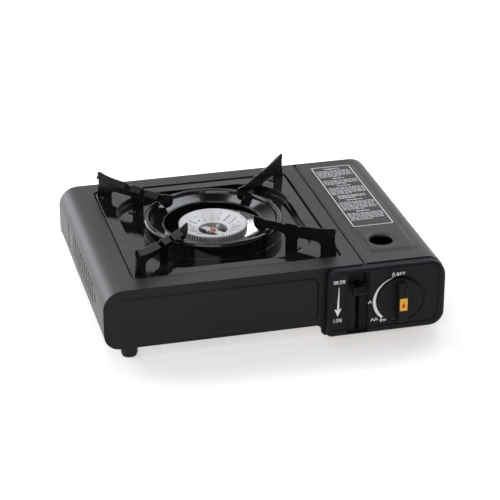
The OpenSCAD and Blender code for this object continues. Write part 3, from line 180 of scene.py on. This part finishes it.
def cast_metal(name, color, dark, grit=900.0, rough=(0.34, 0.55), depth=0.00009):
    p = Paint(name, color, 0.45, 1.0)
    skin = p.noise(grit, 4, 0.7)
    cloud = p.noise(70, 3)
    p.mottle(p.math("MULTIPLY", p.ramp(cloud, (0.35, 0.0), (0.75, 1.0)), 0.7), dark)
    p.vary_rough(skin, *rough)
    p.surface(skin, depth, 0.5, 0.0005)
    return p.mat


PORT_BACK, PORT_MOUTH = 0.0304, 0.0348    # radii between which the flame ports are painted dark as shade
PORT_TOP = 0.0015                         # how far below the cap's top the painted shade in the ports ends


def turned_burner(centre, top):
    """Bright aluminium with the fine circles of the lathe around the burner's axis, and painted shade darkening
    the slots of its flame ports.
    """
    p = Paint("burner_alloy", (0.58, 0.58, 0.58), 0.5, 0.5)
    local = p.stretched((1, 1, 1), centre)
    flat = p.node("ShaderNodeVectorMath", {0: local, 1: (1, 1, 0)}, operation="MULTIPLY").outputs[0]
    radius = p.node("ShaderNodeVectorMath", {0: flat}, operation="LENGTH").outputs["Value"]
    rings = p.node("ShaderNodeTexNoise", {"W": radius, "Scale": 2600.0, "Detail": 3.0}, noise_dimensions="1D")
    lathe = rings.outputs["Fac"]
    grit = p.noise(1300, 3, 0.6)
    both = p.math("ADD", p.math("MULTIPLY", lathe, 0.6), p.math("MULTIPLY", grit, 0.5))
    worn = p.math("MULTIPLY", p.ramp(p.noise(60, 4), (0.45, 0.0), (0.8, 0.5)), 0.35)
    height = p.node("ShaderNodeSeparateXYZ", {0: p.coords}).outputs["Z"]
    # painted shade: the flame port slots between these radii and below the top run to near black
    past_back = p.math("GREATER_THAN", radius, PORT_BACK)
    behind = p.math("MULTIPLY", past_back, p.math("LESS_THAN", radius, PORT_MOUTH))
    soot_and_shade = p.math("MULTIPLY", behind, p.math("LESS_THAN", height, top - PORT_TOP))
    p.mottle(p.math("MAXIMUM", worn, p.math("MULTIPLY", soot_and_shade, 0.96)), (0.02, 0.02, 0.02))
    p.vary_rough(both, 0.42, 0.62)
    p.surface(both, 0.00005, 0.4, 0.0004)
    return p.mat


def brushed(name, color, other, rough=(0.22, 0.4), way=(1, 1, 12), scale=260.0):
    p = Paint(name, color, 0.3, 1.0)
    streak = p.noise(scale, 4, 0.6, p.stretched(way))
    p.mottle(streak, other)
    p.vary_rough(streak, *rough)
    p.surface(streak, 0.00002, 0.3, 0.0003)
    return p.mat


def rubber(name="foot_rubber", color=(0.012, 0.012, 0.012), other=(0.022, 0.021, 0.02)):
    p = Paint(name, color, 0.7, Specular_IOR_Level=0.3)
    dust = p.noise(160, 4, 0.65)
    p.mottle(p.ramp(dust, (0.45, 0.0), (0.75, 1.0)), other)
    p.vary_rough(dust, 0.58, 0.8)
    p.surface(p.noise(1400, 3), 0.00008, 0.4, 0.0006)
    return p.mat


def glazed():
    p = Paint("ceramic", (0.86, 0.85, 0.80), 0.18, Coat_Weight=0.5, Coat_Roughness=0.08)
    soot_and_shade = p.noise(420, 3)
    p.mottle(p.ramp(soot_and_shade, (0.55, 0.0), (0.85, 0.6)), (0.62, 0.59, 0.52))
    p.vary_rough(soot_and_shade, 0.12, 0.26)
    p.surface(p.noise(300, 2), 0.00003, 0.2, 0.0003)
    return p.mat


def silicone():
    p = Paint("lead_sleeve", (0.06, 0.007, 0.007), 0.5)
    worn = p.noise(320, 3)
    p.mottle(worn, (0.04, 0.006, 0.006))
    p.vary_rough(worn, 0.42, 0.6)
    p.surface(worn, 0.00003, 0.3)
    return p.mat


def ink(name, color, other, rough=(0.4, 0.6)):
    """Screen-printed ink, a little uneven in its cover."""
    p = Paint(name, color, 0.5, Specular_IOR_Level=0.3)
    cover = p.noise(900, 4, 0.7)
    p.mottle(p.ramp(cover, (0.5, 0.0), (0.8, 1.0)), other)
    p.vary_rough(cover, *rough)
    p.surface(cover, 0.00002, 0.2)
    return p.mat


lo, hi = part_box("burner_cap")
burner = (lo + hi) / 2
BURNER = (burner.x, burner.y, 0.0)

casing_paint = painted_sheet()
# painted shade: the front panel gets a darker, less shiny copy of the casing paint, for its face turned away
# from the light
front_shade_paint = painted_sheet("front_shade_paint", (0.0085, 0.0085, 0.0105), (0.0115, 0.0115, 0.014), 0.18)
tray_enamel = enamel()
support_enamel = enamel("support_enamel", (0.2, 0.34), 0.0002, 0.28, 0.0005)
plastic = moulded_plastic()
zinc = galvanised()
bright_zinc = galvanised("bright_steel", (0.97, 0.97, 0.96), (0.93, 0.93, 0.92), (0.22, 0.36), 0.6)
cast = cast_metal("cast_alloy", (0.60, 0.61, 0.62), (0.42, 0.43, 0.44))
turned = turned_burner(BURNER, hi.z)
yellow = brushed("yellow_passivated", (0.66, 0.58, 0.36), (0.60, 0.42, 0.40), scale=120.0)
brass = brushed("brass", (0.72, 0.52, 0.22), (0.55, 0.38, 0.15))
copper = brushed("copper", (0.72, 0.36, 0.27), (0.60, 0.22, 0.15))
bridge_alloy = cast_metal("bridge_alloy", (0.70, 0.70, 0.71), (0.55, 0.55, 0.56), 1200.0, (0.3, 0.5), 0.00005)
screw_steel = brushed("screw_steel", (0.52, 0.53, 0.55), (0.36, 0.37, 0.39))
black_screw = brushed("black_screw", (0.05, 0.05, 0.052), (0.02, 0.02, 0.022), (0.3, 0.45))
seal = rubber("seal_rubber", (0.01, 0.01, 0.01), (0.02, 0.02, 0.02))
feet = rubber()
white_ink = ink("white_ink", (0.93, 0.94, 0.95), (0.80, 0.81, 0.82))
pale_ink = ink("pale_ink", (0.62, 0.62, 0.63), (0.40, 0.40, 0.41))
amber_ink = ink("amber_ink", (0.95, 0.50, 0.04), (0.90, 0.42, 0.03), (0.25, 0.4))
red_ink = ink("red_ink", (0.62, 0.02, 0.015), (0.5, 0.015, 0.012), (0.25, 0.4))

FINISH = {
    "top_casing": casing_paint, "front_panel": front_shade_paint, "rear_panel": casing_paint, "lid": casing_paint,
    "control_fascia": plastic, "knob": plastic, "lever_grip": plastic, "piezo_igniter": plastic,
    "base_plate": zinc, "compartment_divider": zinc, "cartridge_cradle": zinc, "slide_guides": zinc,
    "collar_plate": zinc, "burner_bracket": zinc, "electrode_bracket": zinc, "lever_bracket": zinc,
    "lever_arm": zinc, "pusher": zinc, "heat_shield": bright_zinc,
    "regulator_body": cast, "mixing_tube": cast, "burner_body": cast, "regulator_cap": yellow,
    "burner_cap": turned, "burner_bridge": bridge_alloy, "burner_screw": copper,
    "gas_pipe": brass, "gas_nozzle": brass, "knob_spindle": brass,
    "cap_screws": screw_steel, "panel_screws": screw_steel, "foot_screws": screw_steel,
    "hinge_pins": screw_steel, "lever_pivot_pin": screw_steel, "casing_screws": black_screw,
    "stem_seal": seal, "feet_left": feet, "feet_right": feet,
    "spark_electrode": glazed(), "ignition_lead": silicone(), "knob_indicator": amber_ink,
    "drip_tray": tray_enamel, "pan_support_1": support_enamel, "pan_support_2": support_enamel,
    "pan_support_3": support_enamel, "pan_support_4": support_enamel, "support_rivets": support_enamel,
}
for name, obj in nodes.items():
    obj.data.materials.clear()
    obj.data.materials.append(FINISH[name])


# ------------------------------------------------------------------ printed marks

PRINT = 0.06 * MM      # thickness of printed ink
SINK = 0.04 * MM       # how deep it lies in the surface


def flat_piece(name, outlines, place, mat, body, slot, thick=PRINT):
    """Outlines in millimetres become thin prints. place(u, v, w) gives a point: w is out of the surface."""
    mesh = bpy.data.meshes.new(name)
    bm = bmesh.new()
    for outline in outlines:
        low = [bm.verts.new(place(u, v, -SINK)) for u, v in outline]
        high = [bm.verts.new(place(u, v, thick)) for u, v in outline]
        bm.faces.new(high)
        bm.faces.new(low[::-1])
        n = len(outline)
        for i in range(n):
            j = (i + 1) % n
            bm.faces.new((low[i], low[j], high[j], high[i]))
    bmesh.ops.recalc_face_normals(bm, faces=bm.faces)
    bmesh.ops.triangulate(bm, faces=[f for f in bm.faces if len(f.verts) > 4])
    bm.to_mesh(mesh)
    bm.free()
    mesh.materials.append(mat)
    obj = bpy.data.objects.new(name, mesh)
    bpy.context.scene.collection.objects.link(obj)
    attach(obj, body)


def rounded(x0, y0, x1, y1, r, steps=6):
    """Outline of a rectangle with round corners."""
    points = []
    corners = ((x1 - r, y1 - r, 0), (x0 + r, y1 - r, 90), (x0 + r, y0 + r, 180), (x1 - r, y0 + r, 270))
    for cx, cy, start in corners:
        for i in range(steps + 1):
            a = math.radians(start + 90 * i / steps)
            points.append((cx + r * math.cos(a), cy + r * math.sin(a)))
    return points


def band(inner, outer):
    """Quads between two closed lines of as many points."""
    n = len(inner)
    return [[inner[i], outer[i], outer[(i + 1) % n], inner[(i + 1) % n]] for i in range(n)]


def stroke(points, widths):
    """A line of changing width as quads."""
    sides = []
    for i, (x, y) in enumerate(points):
        x0, y0 = points[max(i - 1, 0)]
        x1, y1 = points[min(i + 1, len(points) - 1)]
        d = math.hypot(x1 - x0, y1 - y0)
        nx, ny = -(y1 - y0) / d, (x1 - x0) / d
        w = widths[i] / 2
        sides.append(((x + nx * w, y + ny * w), (x - nx * w, y - ny * w)))
    return [[a[0], a[1], b[1], b[0]] for a, b in zip(sides, sides[1:])]


def flame(cx, cy, h, w, steps=24):
    """Outline of a plain flame, a drop with its tip up."""
    points = []
    for i in range(steps):
        t = 2 * math.pi * i / steps
        squeeze = (1 - math.cos(t)) / 2
        points.append((cx + w / 2 * math.sin(t) * squeeze ** 0.9, cy + h / 2 * math.cos(t)))
    return points


def bow(first, last):
    """The round of a letter in steps of 15 degrees, from one of them to another."""
    turns = [math.pi * i / 12 for i in range(first, last + 1)]
    return [(0.5 + 0.5 * math.sin(t), 0.5 - 0.5 * math.cos(t)) for t in turns]


# Plain pen letters in a cell one wide and one high
PEN = {
    "U": [[(0, 1), (0, 0.3), (0.16, 0.06), (0.5, 0), (0.84, 0.06), (1, 0.3), (1, 1)]],
    "N": [[(0, 0), (0, 1)], [(0, 1), (1, 0)], [(1, 0), (1, 1)]],
    "L": [[(0, 1), (0, 0)], [(0, 0), (0.95, 0)]],
    "O": [bow(0, 24)],
    "C": [bow(-21, -3)],
    "K": [[(0, 0), (0, 1)], [(0.05, 0.42), (0.95, 1)], [(0.32, 0.6), (1, 0)]],
    "F": [[(0, 0), (0, 1)], [(0, 1), (0.95, 1)], [(0, 0.52), (0.8, 0.52)]],
}


LETTER_SHARE = 0.8     # of a letter's cell, the rest is the gap to the next one


def words(name, text, left, base, right, top, place, mat, body, slot, pen):
    """Function words in pen letters, fitted to a rectangle in millimetres on the surface."""
    cell = (right - left) / len(text)
    wide, high = cell * LETTER_SHARE - pen, top - base - pen
    quads = []
    for i, letter in enumerate(text):
        for line in PEN[letter]:
            x0 = left + i * cell + pen / 2
            points = [(x0 + u * wide, base + pen / 2 + v * high) for u, v in line]
            quads += stroke(points, [pen] * len(points))
    flat_piece(name, quads, place, mat, body, slot)


FIELD_DEPTH = 0.8 * MM     # how far the fascia's printed field lies behind its foremost edge
FIELD_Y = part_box("control_fascia")[0].y + FIELD_DEPTH


def on_fascia(u, v, w):
    return Vector((u * MM, FIELD_Y - w, v * MM))


knob_lo, knob_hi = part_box("knob")
KNOB = ((knob_lo.x + knob_hi.x) / 2 / MM, (knob_lo.z + knob_hi.z) / 2 / MM)


# The arc from off to on, in degrees round the knob and in millimetres
ARC_FROM, ARC_TO, ARC_STEPS = 108, 228, 36
ARC_RADIUS = 23.9          # of its inner edge
ARC_THIN, ARC_GAIN = 0.5, 2.6
FINE_PEN, BOLD_PEN = 0.42, 0.75    # of the lock's words and the knob's


def fascia_marks():
    """Words, arrow, arc and flames, in millimetres: X to the right and Z up, as in the frame."""
    both = (white_ink, "casing", "indicator")
    words("mark_unlock", "UNLOCK", 54.3, 67.8, 66.6, 72.1, on_fascia, *both, FINE_PEN)
    words("mark_lock", "LOCK", 54.8, 26.2, 63.9, 30.5, on_fascia, *both, FINE_PEN)
    words("mark_off", "OFF", 118.2, 69.9, 128.2, 73.6, on_fascia, *both, BOLD_PEN)
    words("mark_on", "ON", 102.4, 21.4, 109.5, 24.9, on_fascia, *both, BOLD_PEN)
    shaft = stroke([(59.8, 64.4), (59.4, 50.0), (59.1, 40.6)], [0.5, 1.5, 2.2])
    head = [[(55.5, 41.0), (58.8, 32.6), (62.7, 41.2), (59.1, 40.0)]]
    flat_piece("mark_arrow", shaft + head, on_fascia, *both)
    # the arc widens on its way, and narrows a little over its last part
    points, widths = [], []
    for i in range(ARC_STEPS + 1):
        t = i / ARC_STEPS
        a = math.radians(ARC_FROM + (ARC_TO - ARC_FROM) * t)
        width = ARC_THIN + ARC_GAIN * min(1.0, (t * 1.7) ** 1.2) - (0.6 * max(0.0, t - 0.85) / 0.15)
        r = ARC_RADIUS + width / 2
        points.append((KNOB[0] + r * math.cos(a), KNOB[1] + r * math.sin(a)))
        widths.append(width)
    flat_piece("mark_arc", stroke(points, widths), on_fascia, *both)
    # one peak for the small flame and two for the large one
    peaks = [[(90.2, 43.0), (91.8, 46.0), (93.4, 43.2)]]
    for x in (93.1, 96.9):
        peaks.append([(x, 23.2), (x + 1.6, 26.4), (x + 3.2, 23.6)])
    flat_piece("mark_flames", [quad for peak in peaks for quad in stroke(peak, [1.0] * 3)], on_fascia, *both)
    drop = flame(115.2, 72.0, 5.4, 4.7)
    inner = flame(115.2, 71.6, 3.6, 2.9)
    flat_piece("mark_flame", band(inner, drop), on_fascia, *both)


fascia_marks()

INSERT_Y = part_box("knob_indicator")[0].y
THIN_PRINT = 0.03 * MM


def on_insert(u, v, w):
    return Vector((u * MM, INSERT_Y - w, v * MM))


knob_flame = flame(KNOB[0], KNOB[1] - 0.3, 6.4, 5.0)
flat_piece("indicator_flame", [knob_flame], on_insert, red_ink, "knob_body", "indicator", thick=THIN_PRINT)


# ------------------------------------------------------------------ panel printed on the lid

# All of this in millimetres. A rectangle is its left, front, right and back.
LID_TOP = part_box("lid")[1].z
PANEL_RISE = 1.6                        # how far the middle of the lid's panel stands out
LID_Z = LID_TOP + PANEL_RISE * MM
PANEL = (102.4, -35.0, 145.2, 121.5)    # frame of the printed rows
PRESSING = (99.2, -94.5, 151.2, 127.0)  # foot of the raised panel
CORNER, LEAST_CORNER = 8.0, 3.2         # radius at its foot, and the least one further in
HOLE = (120.7, -68.5)                   # middle of the finger hole
# The panel's edge by how far in it lies, and the hole's rim by its radius. A height over 0 is a share of
# PANEL_RISE, and one under 0 lies in the lid.
EDGE = [(0.0, -1.7), (0.0, 0.0), (0.7, 0.06), (1.6, 0.26), (2.5, 0.52), (3.4, 0.78), (4.3, 0.94), (5.2, 1.0)]
RIM = [(11.9, -2.2), (11.9, -0.5), (12.2, -0.1), (13.0, 0.3), (14.2, 0.64), (15.6, 0.88), (17.2, 1.0)]


def lid_skin(corner_steps=8, hole_step=6):
    """Pressed panel of the lid with its broad soft edge and the dished rim of the finger hole."""
    x0, y0, x1, y1 = PRESSING
    bm = bmesh.new()

    def loop(points, height):
        z = LID_TOP + (height * PANEL_RISE if height > 0 else height) * MM
        return [bm.verts.new((u * MM, v * MM, z)) for u, v in points]

    def skin(low, high):
        for i in range(len(low)):
            j = (i + 1) % len(low)
            bm.faces.new((low[i], low[j], high[j], high[i])).smooth = True

    outer = []
    for d, height in EDGE:
        r = max(CORNER - d, LEAST_CORNER)
        outer.append(loop(rounded(x0 + d, y0 + d, x1 - d, y1 - d, r, corner_steps), height))
    circle = [(math.cos(math.radians(a)), math.sin(math.radians(a))) for a in range(0, 360, hole_step)]
    inner = [loop([(HOLE[0] + r * c, HOLE[1] + r * t) for c, t in circle], height) for r, height in RIM]
    for rings in (outer, inner):
        for low, high in zip(rings, rings[1:]):
            skin(low, high)
    for end in (0, -1):      # its underside, then its top
        rims = []
        for ring in (outer[end], inner[end]):
            rims += [bm.edges.get((ring[i], ring[(i + 1) % len(ring)])) for i in range(len(ring))]
        bmesh.ops.triangle_fill(bm, edges=rims, use_beauty=True)
    bmesh.ops.recalc_face_normals(bm, faces=bm.faces)
    mesh = bpy.data.meshes.new("lid_panel")
    bm.to_mesh(mesh)
    bm.free()
    mesh.materials.append(casing_paint)
    obj = bpy.data.objects.new("lid_panel", mesh)
    bpy.context.scene.collection.objects.link(obj)
    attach(obj, "lid_body")


lid_skin()


def on_lid(u, v, w):
    return Vector((u * MM, v * MM, LID_Z + w))


FRAME_LINE = 0.8
ROW_PITCH, BLOCK_GAP = 3.1, 2.3
FULL_ROW = 31          # a row shorter than this stands in the middle, like a heading
LAST_ROW = 0.62        # how much of a block's last row is filled
# Rows of a block, their width, and half the height of their dashes
BLOCKS = [(1, 17, 1.1), (6, 38, 0.7), (1, 13, 1.0), (4, 38, 0.7), (1, 15, 1.0), (6, 38, 0.7),
          (3, 30, 0.9), (1, 17, 1.0), (7, 38, 0.7), (1, 14, 1.0), (6, 38, 0.7)]


def lid_print():
    """A frame and rows of plain dashes: no words, only where rows of print would be."""
    x0, y0, x1, y1 = PANEL
    d = FRAME_LINE
    edge = band(rounded(x0 + d, y0 + d, x1 - d, y1 - d, 1.6), rounded(x0, y0, x1, y1, 2.4))
    flat_piece("lid_print_frame", edge, on_lid, white_ink, "lid_body", "indicator")
    draw = random.Random(7)
    dashes = []
    y = y1 - 6.0
    for rows, width, h in BLOCKS:
        for row in range(rows):
            x = (x0 + x1) / 2 - width / 2 if width < FULL_ROW else x0 + 2.6
            end = x + width * (1 if row < rows - 1 or rows == 1 else LAST_ROW)
            while x < end - 1.5:
                length = min(draw.uniform(1.6, 5.4), end - x)
                dashes.append(rounded(x, y - h, x + length, y + h, 0.4, 2))
                x += length + draw.uniform(0.6, 1.0)
            y -= ROW_PITCH
        y -= BLOCK_GAP
    flat_piece("lid_print_rows", dashes, on_lid, pale_ink, "lid_body", "indicator")


lid_print()


# ------------------------------------------------------------------ floor, light, camera


FLOOR_HALF = 9.0       # half the side of the floor
FLOOR_LIFT = 0.42      # white added to the floor where it is seen


def floor():
    mesh = bpy.data.meshes.new("floor")
    h = FLOOR_HALF
    mesh.from_pydata([(-h, -h, 0), (h, -h, 0), (h, h, 0), (-h, h, 0)], [], [(0, 1, 2, 3)])
    p = Paint("floor", (0.90, 0.90, 0.90), 0.9, Specular_IOR_Level=0.1)
    p.mottle(p.noise(3, 2), (0.885, 0.885, 0.89))
    # what the camera, metal and glass see of it is lifted to white, while it lights the object as a plain floor
    path = p.tree.nodes.new("ShaderNodeLightPath").outputs
    through = p.math("MAXIMUM", path["Is Glossy Ray"], path["Is Transmission Ray"])
    seen = p.math("MAXIMUM", path["Is Camera Ray"], through)
    strength = p.math("MULTIPLY", seen, FLOOR_LIFT)
    lift = p.node("ShaderNodeEmission", {"Color": (1.0, 0.96, 0.92, 1), "Strength": strength})
    both = p.node("ShaderNodeAddShader", {0: p.bsdf.outputs[0], 1: lift.outputs[0]})
    p.tree.links.new(both.outputs[0], p.tree.nodes["Material Output"].inputs["Surface"])
    mesh.materials.append(p.mat)
    obj = bpy.data.objects.new("floor", mesh)
    bpy.context.scene.collection.objects.link(obj)


def lamp(name, place, aim, size, radiance, color):
    """A rectangle of light. A radiance of 1 would render as white."""
    data = bpy.data.lights.new(name, "AREA")
    data.shape = "RECTANGLE"
    data.size, data.size_y = size
    data.energy = radiance * math.pi * size[0] * size[1]
    data.color = color
    obj = bpy.data.objects.new(name, data)
    obj.location = place
    obj.rotation_euler = (Vector(aim) - Vector(place)).to_track_quat("-Z", "Y").to_euler()
    bpy.context.scene.collection.objects.link(obj)


WHITE, COOL = (1.0, 1.0, 1.0), (0.90, 0.94, 1.0)
# Name, place, aim, size, radiance, colour
LAMPS = [
    ("zenith_box", (-0.3, 0.1, 2.4), (-0.3, 0.1, 0), (2.0, 1.6), 1.15, WHITE),
    ("back_box", (-0.38, 1.2, 1.73), (-0.38, 0, 0.08), (0.85, 0.9), 3.9, COOL),
    ("right_box", (1.02, 0.985, 1.635), (0, 0, 0.08), (1.1, 0.9), 3.9, COOL),
    ("left_box", (-1.45, 0.8, 1.4), (0, 0, 0.05), (0.8, 0.7), 5.0, WHITE),
    ("front_fill", (-0.95, -2.2, 1.6), (0, 0, 0.05), (1.9, 1.6), 3.1, WHITE),
    ("left_strip", (-0.75, 0.75, 0.25), (-0.17, 0, 0.06), (0.9, 0.35), 3.4, COOL),
]

floor()
for row in LAMPS:
    lamp(*row)

world = bpy.data.worlds.new("world")
bpy.context.scene.world = world
world.use_nodes = True

SKY_STRENGTH = 1.2
# Share of that strength by height, which is the sine of the elevation
SKY = [
    (0.0, (1.0, 0.98, 0.96)), (0.17, (0.95, 0.94, 0.93)), (0.35, (0.72, 0.72, 0.73)),
    (0.47, (0.54, 0.54, 0.56)), (0.58, (0.12, 0.12, 0.13)), (0.7, (0.03, 0.03, 0.03)),
    (1.0, (0.03, 0.03, 0.03)),
]
# The same from the front to the back
FRONT_TO_BACK = [
    (0.0, (0.22, 0.22, 0.23)), (0.4, (0.40, 0.40, 0.42)), (0.66, (1.0, 1.0, 1.0)), (1.0, (1.0, 1.0, 1.0)),
]


def studio_sky():
    """White sweep near the horizon, dimmer higher up and dark on the camera's side."""
    tree = world.node_tree
    way = tree.nodes.new("ShaderNodeTexCoord").outputs["Generated"]
    split = tree.nodes.new("ShaderNodeSeparateXYZ")
    tree.links.new(way, split.inputs[0])

    def ramp(source, low, high, stops):
        spread = tree.nodes.new("ShaderNodeMapRange")
        spread.inputs["From Min"].default_value = low
        spread.inputs["From Max"].default_value = high
        tree.links.new(source, spread.inputs["Value"])
        made = tree.nodes.new("ShaderNodeValToRGB")
        while len(made.color_ramp.elements) < len(stops):
            made.color_ramp.elements.new(0.5)
        for element, (place, color) in zip(made.color_ramp.elements, stops):
            element.position = place
            element.color = (*color, 1)
        tree.links.new(spread.outputs[0], made.inputs[0])
        return made.outputs[0]

    height = ramp(split.outputs["Z"], 0.0, 1.0, SKY)
    depth = ramp(split.outputs["Y"], -1.0, 1.0, FRONT_TO_BACK)
    both = tree.nodes.new("ShaderNodeMix")
    both.data_type = "RGBA"
    both.blend_type = "MULTIPLY"
    both.inputs[MIX_FACTOR].default_value = 1.0
    tree.links.new(height, both.inputs[MIX_A])
    tree.links.new(depth, both.inputs[MIX_B])
    background = tree.nodes["Background"].inputs
    tree.links.new(both.outputs[MIX_RESULT], background["Color"])
    background["Strength"].default_value = SKY_STRENGTH


studio_sky()

camera = bpy.data.objects.new("camera", bpy.data.cameras.new("camera"))
bpy.context.scene.collection.objects.link(camera)
camera.location = (-0.4341, -1.6942, 0.8851)
target = Vector((-0.0007, -0.0132, 0.0602))
camera.rotation_mode = "QUATERNION"
camera.rotation_quaternion = (target - camera.location).to_track_quat("-Z", "Y")
camera.data.sensor_width = 36.0
camera.data.lens = 135.8
bpy.context.scene.camera = camera
bpy.context.scene.view_settings.view_transform = "Standard"
